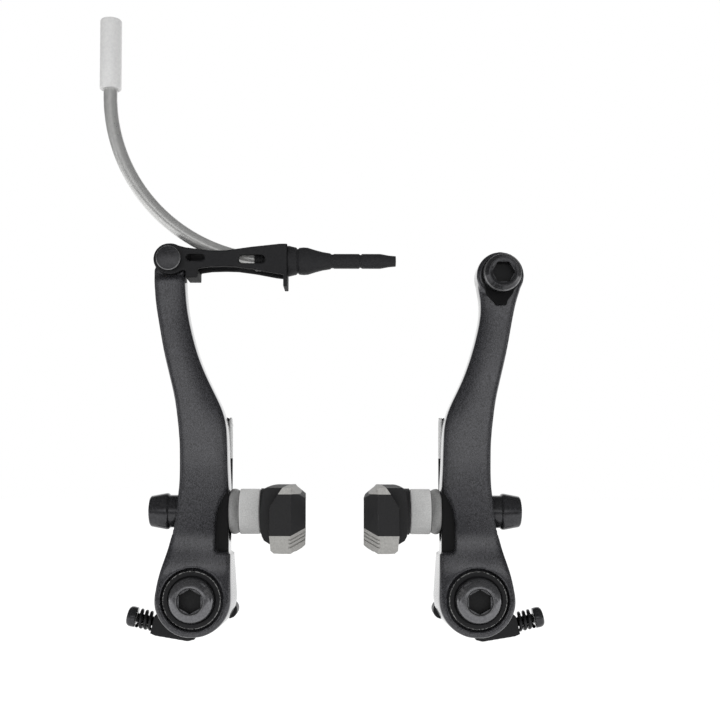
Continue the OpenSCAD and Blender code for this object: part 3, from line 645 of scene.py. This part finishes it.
class BRAKE_OT_springs(Operator):
    """Models the spring cases, adjusting screws and their springs, and rounds the return springs."""
    bl_idname = "brake.springs"
    bl_label = "Springs"

    def execute(self, context):
        shape = context.scene.brake_shape
        for side, sd in SIDES:
            shell = copy_node(side + "_spring_case")
            for vert in shell.data.vertices:
                u, z = HALF * sd + vert.co.x / MM, vert.co.z / MM
                far = math.hypot(u, z)
                # the round wall stays hidden behind the foot; only lobe and lug reach past it
                if far > WALL_R and u * sd > 0 and z > -2.4:
                    vert.co.x, vert.co.z = (u * WALL_R / far - HALF * sd) * MM, z * WALL_R / far * MM
                elif u * sd > 6.1 and z < -2.4:
                    vert.co.x = ((9.0 + (u * sd - 9.3) * 0.78) * sd - HALF * sd) * MM
                    vert.co.z = (-4.6 + (z + 5.6) * 0.78) * MM
            rounded(shell, shape.case_voxel, passes=2)
            shell.name = side + "_case_shell"
            dress(shell, "moulded black nylon", "boss_hardware", "black_plastic", side + "_spring_case")
            domed = [(1.9 + 1.1 * math.cos(math.radians(a)), -6.6 - 1.4 * math.sin(math.radians(a)))
                     for a in (20, 40, 60, 80)]
            screw = turned("screw", [(0, -5.4), (2.95, -5.4), (3.0, -6.6)] + domed + [(0, -8.05)],
                           (0, 0, 0), "X", sd, steps=48, bevel=0.05)
            cut(screw, [block((min(-9 * sd, -7.2 * sd), -0.4, -4), (max(-9 * sd, -7.2 * sd), 0.4, 4))])
            crests = [(1.5 - 0.22 * (k % 2), -5.2 + 0.25 * k) for k in range(43)]
            thread = turned("thread", [(0, -5.2)] + crests + [(0, 5.5)], (0, 0, 0), "X", sd, steps=32, bevel=0)
            screw = join([screw, thread])
            to_trim(screw, sd)
            settle(screw, side + "_trim_screw")
            smooth(screw)
            dress(screw, "black oxide steel", side + "_adjuster", "black_steel", side + "_adjust_screw")
            start()
            bpy.ops.mesh.primitive_circle_add(vertices=12, radius=0.5 * MM, fill_type="NGON")
            wire = bpy.context.object
            for vert in wire.data.vertices:
                vert.co = Vector((vert.co.x - 4.85 * MM, 0, vert.co.y - 2.45 * MM))
            clean(wire)
            apply_modifier(wire, "SCREW", axis="X", screw_offset=1.42 * shape.trim_turns * MM,
                           angle=math.tau * shape.trim_turns, steps=76, render_steps=76,
                           use_smooth_shade=True)
            clean(wire)
            if sd < 0:
                for vert in wire.data.vertices:
                    vert.co.x *= -1
                clean(wire)
            to_trim(wire, sd)
            settle(wire, side + "_trim_spring")
            smooth(wire, 50)
            dress(wire, "blackened spring wire", "boss_hardware", "plain_steel", side + "_adjust_spring")
            leg = copy_node(side + "_return_spring")
            apply_modifier(leg, "SUBSURF", levels=1, render_levels=1)
            smooth(leg, 50)
            leg.name = side + "_spring_wire"
            # a black sleeve covers the lower part of the wire
            paint(leg, 1, lambda c, n: c.z < 42)
            dress(leg, ["bright plated wire", "black electrocoat"], side + "_arm", "plain_steel",
                  side + "_return_spring")
            end = BACK_Y + 2.4
            hook = turned(side + "_leg_hook", [(0, 1), (1.2, 1), (1.2, 5.2), (1, 5.4), (1, end), (2.4, end),
                                               (2.4, end + 0.5), (2.1, end + 0.8), (0, end + 0.8)],
                          ((HOOK_U - HALF) * sd, 0, HOOK_Z), "Y", steps=40)
            dress(hook, "black oxide steel", side + "_arm", "plain_steel", side + "_spring_hook")
        return {"FINISHED"}


# shoes

def shoe_numbers(y):
    """Middle height, end chamfer and friction face of the shoe at a place along it."""
    to_end = SHOE_HALF - abs(y)
    middle = STUD_Z - 0.75 - y * y / 4000
    chamfer = max(0.0, (CHAMFER_LONG - to_end) * CHAMFER_DEEP / CHAMFER_LONG)
    return middle, chamfer, HALF - FACE_X - max(0, y + 27) * 0.032


def pad_ring(y, sd):
    """One section of the pad compound, as (x, y, z) points."""
    mid, t, f = shoe_numbers(y)
    h, c = 8.35, t / CHAMFER_DEEP
    f -= t
    low = mid - h + 1.7 * (1 - c)
    pts = [(23.45, mid - 3.95), (23.55, mid + 3.15), (24.0, mid + 4.15), (25.5, mid + 6.55), (26.7, mid + h),
           (f - 3.2 + t, mid + h), (f - 2.7 + t * 0.8, mid + h - 0.6), (f, mid + h - 2.8 + t * 0.6), (f, low),
           (f - 0.9, low - 0.8 * (1 - c)), (f - 2.4, mid - h), (24.6, mid - h + 0.1), (23.8, mid - h + 0.8),
           (23.7, mid - h + 2.1)]
    return [((u - HALF) * sd, y, z) for u, z in (pts if sd < 0 else pts[::-1])]


def holder_ring(y, sd):
    """One section of the black holder behind the pad."""
    mid = shoe_numbers(y)[0]
    pts = [(21.95, -5.2), (21.35, -4.0), (21.2, 3.15), (21.6, 7.05), (22.3, 8.3), (26.6, 8.3), (26.0, 7.0),
           (24.3, 3.6), (24.2, -5.9), (23.4, -6.1)]
    return [((u - HALF) * sd, y, mid + z) for u, z in (pts if sd < 0 else pts[::-1])]


class BRAKE_OT_shoes(Operator):
    """Models each shoe as a black holder with a two tone pad."""
    bl_idname = "brake.shoes"
    bl_label = "Shoes"

    def execute(self, context):
        ys = [0, 2.4, 4.9, 7.3, 11, 15, 19, 23, 27, 31, 35]
        ys = [d - SHOE_HALF for d in ys] + [SHOE_HALF - d for d in ys[-2::-1]]
        for side, sd in SIDES:
            pad = tube_of_rings(side + "_pad", [pad_ring(y, sd) for y in ys], 14)
            # flat slices where black and grey compound meet
            for u, z, slope in ((28.9, 19.6, 0), (28.9, 19.6, 0.486), (28.9, 30.2, 0)):
                pick(pad)
                bpy.ops.object.mode_set(mode="EDIT")
                bpy.ops.mesh.select_all(action="SELECT")
                bpy.ops.mesh.bisect(plane_co=((u - HALF) * sd * MM, 0, z * MM),
                                    plane_no=(-slope * sd, 0, 1))
                bpy.ops.object.mode_set(mode="OBJECT")
            # slanted water grooves across the friction face
            inner, outer = sorted(((-FACE_X - 1.5) * sd, (-FACE_X + 2.5) * sd))
            for y in GROOVE_YS:
                tool = block((inner, y - 0.9, 12.5), (outer, y + 0.9, 36.5))
                settle(tool, "tool")
                tool.matrix_world = (Matrix.Translation((0, y * MM, STUD_Z * MM)) @ Matrix.Rotation(
                    math.radians(12), 4, "X") @ Matrix.Translation((0, -y * MM, -STUD_Z * MM)))
                cut(pad, [tool])
            # three fine grooves across each grey corner
            for end in (-1, 1):
                for z0, z1 in ((18.5, 20.3), (17.6, 19.4), (16.6, 18.4)):
                    a = Vector((-11.35 * sd, 35.5 * end, z0)) * MM
                    b = Vector((-7.35 * sd, 27.2 * end, z1 + 0.1)) * MM
                    start()
                    bpy.ops.mesh.primitive_cube_add(size=1, location=(a + b) / 2,
                                                    rotation=(b - a).to_track_quat("X", "Z").to_euler(),
                                                    scale=((b - a).length, 1.0 * MM, 0.42 * MM))
                    cut(pad, [bpy.context.object])
            apply_modifier(pad, "BEVEL", width=0.18 * MM, segments=2, limit_method="ANGLE",
                           angle_limit=math.radians(28))
            smooth(pad, 30)
            paint(pad, 1, lambda c, n: c.z < 19.6 + max(0, HALF - abs(c.x) - 28.9) * 0.486 or c.z > 30.2)
            # the narrow faces of the bevelled edges get the painted highlight
            for face in pad.data.polygons:
                spots = [pad.data.vertices[i].co for i in face.vertices]
                longest = max((a - b).length for a in spots for b in spots)
                if face.material_index == 0 and face.area / longest < 0.14 * MM:
                    face.material_index = 2
            dress(pad, ["black block compound", "grey block compound", "rubbed compound edge"], side + "_shoe",
                  "shoe_rubber", side + "_shoe_block")
            holder = tube_of_rings(side + "_holder", [holder_ring(y, sd) for y in ys[1:-1]], 10)
            neck = bar(6.6, ((18.9 - HALF) * sd, 0, STUD_Z), ((22.5 - HALF) * sd, 0, STUD_Z), 96)
            cut(holder, [neck], "UNION")
            apply_modifier(holder, "BEVEL", width=0.35 * MM, segments=3, limit_method="ANGLE",
                           angle_limit=math.radians(28))
            smooth(holder, 30)
            dress(holder, "black block compound", side + "_shoe", "shoe_rubber", side + "_shoe_block")
        return {"FINISHED"}


# link, guide tube, boot and cable clamp

class BRAKE_OT_link(Operator):
    """Rounds the folded link and turns its pin, the guide tube, ferrule, nose and boot."""
    bl_idname = "brake.link"
    bl_label = "Link and guide tube"

    def execute(self, context):
        shape = context.scene.brake_shape
        link = join([copy_node("link_cradle"), block((-42.2, 2.2, 94.9), (-36.6, 4.7, 99.5))])
        for vert in link.data.vertices:
            u, z = vert.co.x / MM - PIN_X, vert.co.z / MM - PIN_Z
            if math.hypot(u, z) > 3.6 and u < 4 and z > -6:
                # the eye ends close around the pin's head
                near = 1 - 0.07 * max(0, min(1, (4 - u) / 4))
                vert.co.x, vert.co.z = (PIN_X + u * near) * MM, (PIN_Z + z * near) * MM
            # the stop tab is short
            if 3.4 < u < 11.4 and z < -3:
                vert.co.z = (PIN_Z - 3 + (z + 3) * 0.8) * MM
        rounded(link, shape.sheet_voxel, passes=2)
        link.name = "link_sheet"
        # faces turned right or down get painted shade
        paint(link, 1, lambda c, n: n.x > 0.5 or n.z < -0.5)
        dress(link, ["black electrocoat", "dull electrocoat"], "link", "dark_sheet", "link_cradle")
        p = PLATE_OUT
        pin = turned("hinge_pin", [(0, -p - 1.6), (3.25, -p - 1.6), (3.5, -p - 1.35), (3.5, -p - 0.1),
                                   (2.5, -p - 0.1), (2.5, p + 0.1), (3.2, p + 0.1), (3, p + 1), (0, p + 1)],
                     (PIN_X, 0, PIN_Z), "Y", bevel=0.08)
        # painted highlight on the rim of the pin head
        paint(pin, 1, lambda c, n: off_axis(c, PIN_X, PIN_Z) > 3.24 and -p - 1.6 < c.y < -p - 1.3)
        dress(pin, ["black oxide steel", "rubbed oxide edge"], "left_arm", "black_steel", "link_pin")
        # guide tube: one ring spun through the bend, then drawn up
        start()
        bpy.ops.mesh.primitive_circle_add(vertices=40, radius=TUBE_R * MM, fill_type="NOTHING",
                                          location=((BEND_X - BEND_R) * MM, 0, BEND_Z * MM))
        tube = settle(bpy.context.object, "guide_tube")
        bpy.ops.object.mode_set(mode="EDIT")
        bpy.ops.mesh.select_all(action="SELECT")
        bpy.ops.mesh.extrude_region_move(TRANSFORM_OT_translate={"value": (0, 0, 7.1 * MM)})
        bpy.ops.mesh.select_all(action="DESELECT")
        bm = bmesh.from_edit_mesh(tube.data)
        for item in list(bm.verts) + list(bm.edges):
            spots = [item.co] if isinstance(item, bmesh.types.BMVert) else [v.co for v in item.verts]
            item.select_set(all(abs(c.z - BEND_Z * MM) < 1e-5 for c in spots))
        bmesh.update_edit_mesh(tube.data)
        bpy.ops.mesh.spin(steps=90, angle=math.pi / 2, center=(BEND_X * MM, 0, BEND_Z * MM), axis=(0, 1, 0))
        bpy.ops.object.mode_set(mode="OBJECT")
        pick(tube)
        bpy.ops.object.mode_set(mode="EDIT")
        bpy.ops.mesh.select_all(action="SELECT")
        bpy.ops.mesh.fill_holes(sides=0)
        bpy.ops.object.mode_set(mode="OBJECT")
        clean(tube)
        smooth(tube)
        dress(tube, "drawn stainless", "link", "tube_metal", "noodle_tube")
        base = BEND_Z + 1.6
        ferrule = turned("housing_ferrule", [(2.02, base), (2.75, base), (3.1, base + 0.35), (3.1, base + 20),
                                             (2.9, base + 20.4), (2.55, base + 20.4), (2.55, BEND_Z + 8.1),
                                             (1.1, BEND_Z + 8.1), (1.1, BEND_Z + 7.1), (2.02, BEND_Z + 7.1)],
                         (BEND_X - BEND_R, 0, 0), "Z", bevel=0.1)
        dress(ferrule, "clear anodised aluminium", "link", "ferrule_metal", "noodle_ferrule")
        ribs = [(2.75 + 0.2 * (k % 2), -23.2 + 0.45 * k) for k in range(8)]
        nose = turned("guide_nose", [(1.3, -23.3), (2.5, -23.3)] + ribs
                      + [(3.0, -19.4), (3.0, END_X - 0.3), (2.4, END_X), (2.2, END_X), (2.2, END_X + 2.4),
                         (1.5, END_X + 5), (1.3, END_X + 5)], (0, 0, AXIS_Z), "X", bevel=0.05)
        dress(nose, "moulded black nylon", "link", "black_plastic", "noodle_nose")
        sleeve = [(2.25, 0), (4.4, 0), (4.4, 0.4), (4.1, 1.6), (3.9, 2.5), (3.5, 2.75), (3.5, 3), (3.85, 3.35),
                  (3.95, 4.6), (3.85, 5.8), (3.2, 7.9), (2.65, 10), (2.3, 12.2), (1.97, 12.6), (1.97, 13),
                  (2.12, 13.4), (2.12, 20.5), (1.84, 20.75), (1.84, 21.05), (2.12, 21.4), (2.12, 26.6),
                  (1.65, 29.2), (1.6, 29.8), (1.5, 31.1), (1.26, 31.1), (1.26, 5.6), (1.6, 4.2), (2.25, 1.8)]
        boot = turned("cable_boot", sleeve, (END_X + 1.1, 0, AXIS_Z), "X", bevel=0.14)
        smooth(boot, 50)
        dress(boot, "moulded rubber", "link", "boot_rubber", "boot")
        # cable clamp
        t = TOP_HALF
        head = turned("clamp_head", [(0, t + 1.2), (2.95, t + 1.2), (2.95, -t - 1.5), (5.3, -t - 1.5),
                                     (5.3, -t - 4.3), (5.0, -t - 4.9), (4.3, -t - 5.7), (4.15, -t - 6.1),
                                     (3.75, -t - 6.1), (3.1, -t - 5.6), (0, -t - 5.6)],
                      (CLAMP_X, 0, CLAMP_Z), "Y", bevel=0.1)
        cut(head, [key_socket(5.6, CLAMP_X, -t - 8, -t - 3, CLAMP_Z)])
        smooth(head, 25)
        # painted highlight on the rim of the head
        paint(head, 1, lambda c, n: 4.98 < off_axis(c, CLAMP_X, CLAMP_Z) < 5.28 and c.y < -t - 4.3)
        # painted shade on the socket's flanks
        paint(head, 2, lambda c, n: off_axis(c, CLAMP_X, CLAMP_Z) < 3.3 and -t - 5.59 < c.y < -t - 3.1)
        # painted shade on the socket's floor
        paint(head, 3, lambda c, n: off_axis(c, CLAMP_X, CLAMP_Z) < 3.3 and abs(c.y + t + 3) < 0.05)
        dress(head, ["black oxide steel", "rubbed oxide edge", "dark socket", "black electrocoat"],
              "right_arm", "black_steel", "anchor_bolt")
        tongue = copy_node("anchor_washer")
        # its tongue ends a little higher
        for vert in tongue.data.vertices:
            vert.co.z += 0.15 * max(0, (CLAMP_Z - 6.2) * MM - vert.co.z)
        rounded(tongue, shape.sheet_voxel, passes=2)
        tongue.name = "clamp_washer"
        # the whole clamp washer gets painted shade
        dress(tongue, "dull electrocoat", "right_arm", "black_steel", "anchor_washer")
        return {"FINISHED"}


class BRAKE_OT_stage(Operator):
    """Sets the floor, the lamps, the surroundings and the camera."""
    bl_idname = "brake.stage"
    bl_label = "Stage"

    def graded(self, tree, value, stops):
        """A grey ramp over a part of the direction that runs from -1 to 1."""
        share = add(tree, "ShaderNodeMapRange", {"Value": value, "From Min": -1.0, "From Max": 1.0})
        grey = add(tree, "ShaderNodeValToRGB", {"Fac": share.outputs["Result"]})
        for k, (spot, level) in enumerate(stops):
            item = grey.color_ramp.elements[k] if k < 2 else grey.color_ramp.elements.new(spot)
            item.position = spot
            item.color = (level, level, level, 1)
        return grey.outputs["Color"]

    def execute(self, context):
        stage = context.scene.brake_stage
        scene = context.scene
        scene.view_settings.view_transform = "Standard"
        start()
        bpy.ops.mesh.primitive_plane_add(size=6, location=(0, 0.5, -0.075))
        floor = settle(bpy.context.object, "floor")
        mat = bpy.data.materials.new("white paper")
        mat.use_nodes = True
        tree = mat.node_tree
        tree.nodes.clear()
        # pale paper that still takes the shadow: lifted to white for the camera, dim to the front in mirrors
        path = add(tree, "ShaderNodeLightPath")
        where = add(tree, "ShaderNodeTexCoord").outputs["Object"]
        depth = add(tree, "ShaderNodeSeparateXYZ", {"Vector": where}).outputs["Y"]
        ahead = add(tree, "ShaderNodeMapRange", {"Value": depth, "From Min": -0.45, "From Max": -0.2,
                                                 "To Min": 0.07, "To Max": 0.67})
        dim = add(tree, "ShaderNodeMix", {0: path.outputs["Is Glossy Ray"], 2: linear("#D6D6D6")[0],
                                          3: ahead.outputs["Result"]})
        matt = add(tree, "ShaderNodeBsdfDiffuse", {"Color": dim.outputs[0]})
        glow = add(tree, "ShaderNodeEmission", {"Color": (1, 1, 1, 1), "Strength": 0.5})
        lit = add(tree, "ShaderNodeAddShader", {0: matt.outputs[0], 1: glow.outputs[0]})
        back = add(tree, "ShaderNodeMapRange", {"Value": depth, "From Min": 0.1, "From Max": 0.4})
        far = add(tree, "ShaderNodeMath", {0: back.outputs["Result"], 1: path.outputs["Is Glossy Ray"]},
                  operation="MULTIPLY")
        seen = add(tree, "ShaderNodeMath", {0: path.outputs["Is Camera Ray"], 1: far.outputs[0]},
                   operation="MAXIMUM")
        both = add(tree, "ShaderNodeMixShader", {0: seen.outputs[0], 1: matt.outputs[0], 2: lit.outputs[0]})
        out = add(tree, "ShaderNodeOutputMaterial")
        tree.links.new(both.outputs[0], out.inputs["Surface"])
        floor.data.materials.append(mat)
        world = bpy.data.worlds.new("white tent")
        scene.world = world
        world.use_nodes = True
        tree = world.node_tree
        tree.nodes.clear()
        path = add(tree, "ShaderNodeLightPath")
        # what metal mirrors: a white wall behind, dark sides, a grey room in front
        where = add(tree, "ShaderNodeTexCoord").outputs["Generated"]
        split = add(tree, "ShaderNodeSeparateXYZ", {"Vector": where})
        wall, near, height = (self.graded(tree, split.outputs[axis], stops) for axis, stops in (
            ("Y", ((0, 0), (0.8, 0), (0.9, 0.8), (0.95, 1))),
            ("Y", ((0, 1), (0.012, 0.95), (0.06, 0.35), (0.2, 0.25), (0.5, 0.12), (0.85, 0.1))),
            ("Z", ((0, 0.7), (0.25, 0.45), (0.4, 0.08), (0.47, 0.04), (0.5, 0.45), (0.525, 1), (0.57, 1),
                   (0.6, 0.6), (0.64, 0.15)))))
        beside, below = (self.graded(tree, split.outputs[axis], stops) for axis, stops in (
            ("Y", ((0.22, 0), (0.28, 1), (0.38, 1), (0.44, 0))),
            ("Z", ((0.2, 0), (0.3, 1), (0.5, 1), (0.54, 0)))))
        front = add(tree, "ShaderNodeMath", {0: near, 1: height}, operation="MULTIPLY")
        sides = add(tree, "ShaderNodeMath", {0: beside, 1: below}, operation="MULTIPLY")
        around = add(tree, "ShaderNodeMath", {0: front.outputs[0], 1: sides.outputs[0]}, operation="MAXIMUM")
        room = add(tree, "ShaderNodeMath", {0: around.outputs[0], 1: wall}, operation="MAXIMUM")
        mirror = add(tree, "ShaderNodeBackground", {"Color": room.outputs[0], "Strength": 1.0})
        soft = add(tree, "ShaderNodeBackground", {"Color": (1, 1, 1, 1), "Strength": stage.fill})
        white = add(tree, "ShaderNodeBackground", {"Color": (1, 1, 1, 1), "Strength": 1.0})
        seen = add(tree, "ShaderNodeMixShader", {0: path.outputs["Is Glossy Ray"], 1: soft.outputs[0],
                                                 2: mirror.outputs[0]})
        clear = add(tree, "ShaderNodeMath", {0: path.outputs["Is Camera Ray"],
                                             1: path.outputs["Is Transmission Ray"]}, operation="MAXIMUM")
        both = add(tree, "ShaderNodeMixShader", {0: clear.outputs[0], 1: seen.outputs[0],
                                                 2: white.outputs[0]})
        out = add(tree, "ShaderNodeOutputWorld")
        tree.links.new(both.outputs[0], out.inputs["Surface"])
        for name, place in (("left lamp", (-0.55, -0.4, 0.1)), ("right lamp", (0.55, -0.4, 0.1))):
            start()
            bpy.ops.object.light_add(type="AREA", location=place)
            lamp = bpy.context.object
            lamp.name = name
            lamp.data.size = 0.4
            lamp.data.energy = stage.key
            lamp.visible_glossy = False
            lamp.rotation_euler = (Vector((0, 0, 0.06)) - Vector(place)).to_track_quat("-Z", "Y").to_euler()
        start()
        turn = (math.pi / 2 + math.radians(stage.tilt), math.radians(stage.roll), 0)
        bpy.ops.object.camera_add(location=Vector(stage.camera_at) * MM, rotation=turn)
        cam = bpy.context.object
        cam.data.lens = stage.focal
        cam.data.sensor_width = 36
        cam.data.shift_x, cam.data.shift_y = stage.shift
        cam.data.clip_start = 0.01
        cam.data.clip_end = 20
        scene.camera = cam
        return {"FINISHED"}


class BRAKE_OT_finishes(Operator):
    """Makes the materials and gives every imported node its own."""
    bl_idname = "brake.finishes"
    bl_label = "Finishes"

    def execute(self, context):
        make_materials(context.scene.brake_tones)
        for name, obj in nodes.items():
            key = name.replace("left_", "").replace("right_", "")
            obj.data.materials.clear()
            obj.data.materials.append(bpy.data.materials[NODE_FINISH[key]])
        return {"FINISHED"}


class BRAKE_PT_panel(Panel):
    """Lists the operators of the brake."""
    bl_label = "Rim brake"
    bl_idname = "BRAKE_PT_panel"
    bl_space_type = "VIEW_3D"
    bl_region_type = "UI"
    bl_category = "Brake"

    def draw(self, context):
        for op in OPERATORS:
            self.layout.operator(op.bl_idname)


OPERATORS = (BRAKE_OT_finishes, BRAKE_OT_stage, BRAKE_OT_arms, BRAKE_OT_hardware, BRAKE_OT_springs,
             BRAKE_OT_shoes, BRAKE_OT_link)
CLASSES = (BrakeShape, BrakeTones, BrakeStage) + OPERATORS + (BRAKE_PT_panel,)


def register():
    for cls in CLASSES:
        bpy.utils.register_class(cls)
    bpy.types.Scene.brake_shape = PointerProperty(type=BrakeShape)
    bpy.types.Scene.brake_tones = PointerProperty(type=BrakeTones)
    bpy.types.Scene.brake_stage = PointerProperty(type=BrakeStage)


def unregister():
    del bpy.types.Scene.brake_stage
    del bpy.types.Scene.brake_tones
    del bpy.types.Scene.brake_shape
    for cls in reversed(CLASSES):
        bpy.utils.unregister_class(cls)


def main():
    register()
    for op in OPERATORS:
        group, name = op.bl_idname.split(".")
        getattr(getattr(bpy.ops, group), name)()


if __name__ == "__main__":
    main()
